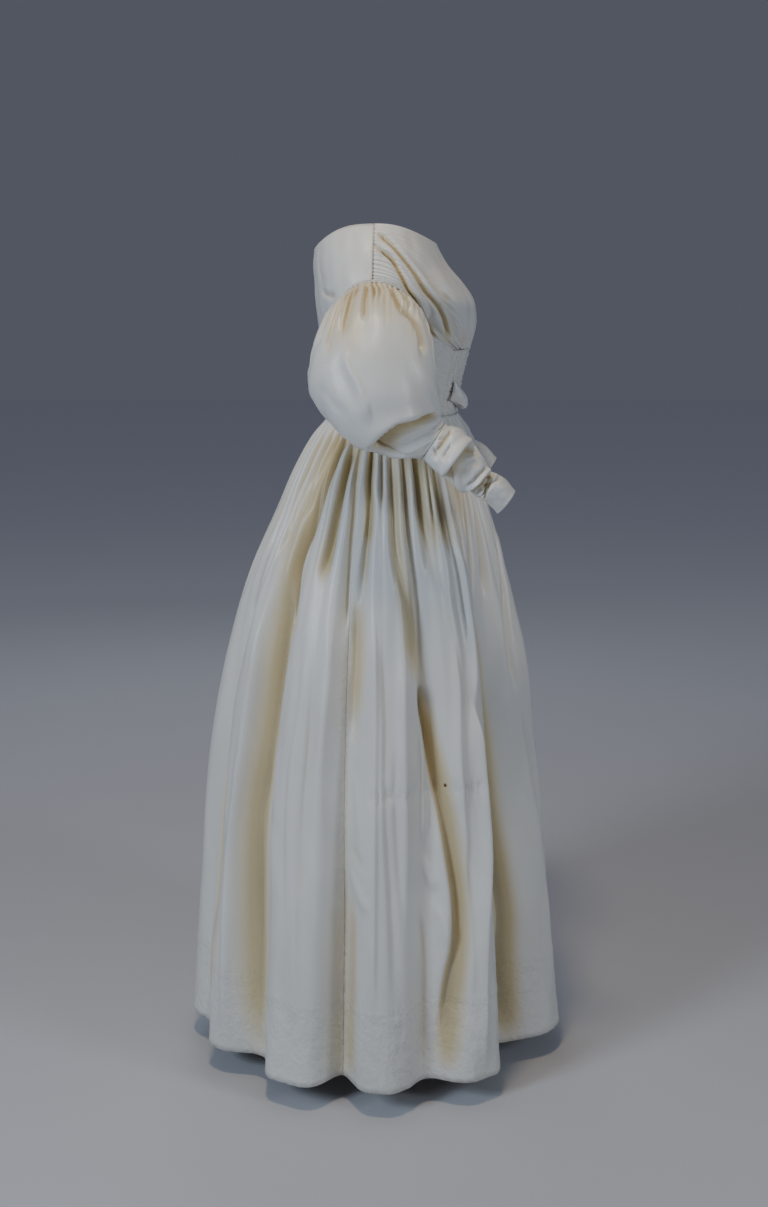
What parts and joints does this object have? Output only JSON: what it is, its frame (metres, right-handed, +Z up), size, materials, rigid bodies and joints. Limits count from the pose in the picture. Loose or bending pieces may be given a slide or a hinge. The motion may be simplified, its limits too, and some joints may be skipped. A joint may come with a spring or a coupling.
{
  "type": "wedding dress",
  "caption": "Silk wedding dress in its hollow worn form: wide neckline, gathered drape front, puffed upper sleeves, close lower sleeves and a full gathered skirt.",
  "frame": {"origin": "midway between the shoulders, at the height where the dress rests on them", "axes": "+Z up, -Y the way that the dress faces, -X the wearer's right"},
  "size_m": [0.6682, 0.6453, 1.3604],
  "materials": {
    "silk_satin": "ivory silk satin with a soft sheen",
    "silk_ribbon": "brighter ivory silk ribbon"
  },
  "bodies": {
    "root": {"back_right": "silk_satin", "back_left": "silk_satin", "side_right": "silk_satin", "side_left": "silk_satin", "front_drape": "silk_satin", "midriff": "silk_satin", "armhole_piping_right": "silk_satin", "armhole_piping_left": "silk_satin", "sleeve_puff_right": "silk_satin", "sleeve_puff_left": "silk_satin", "sleeve_lower_right": "silk_satin", "sleeve_lower_left": "silk_satin", "skirt_front": "silk_satin", "skirt_side_right": "silk_satin", "skirt_side_left": "silk_satin", "skirt_back_right": "silk_satin", "skirt_back_left": "silk_satin", "bow_loop_right": "silk_ribbon", "bow_loop_left": "silk_ribbon", "bow_knot": "silk_ribbon"}
  },
  "joints": []
}
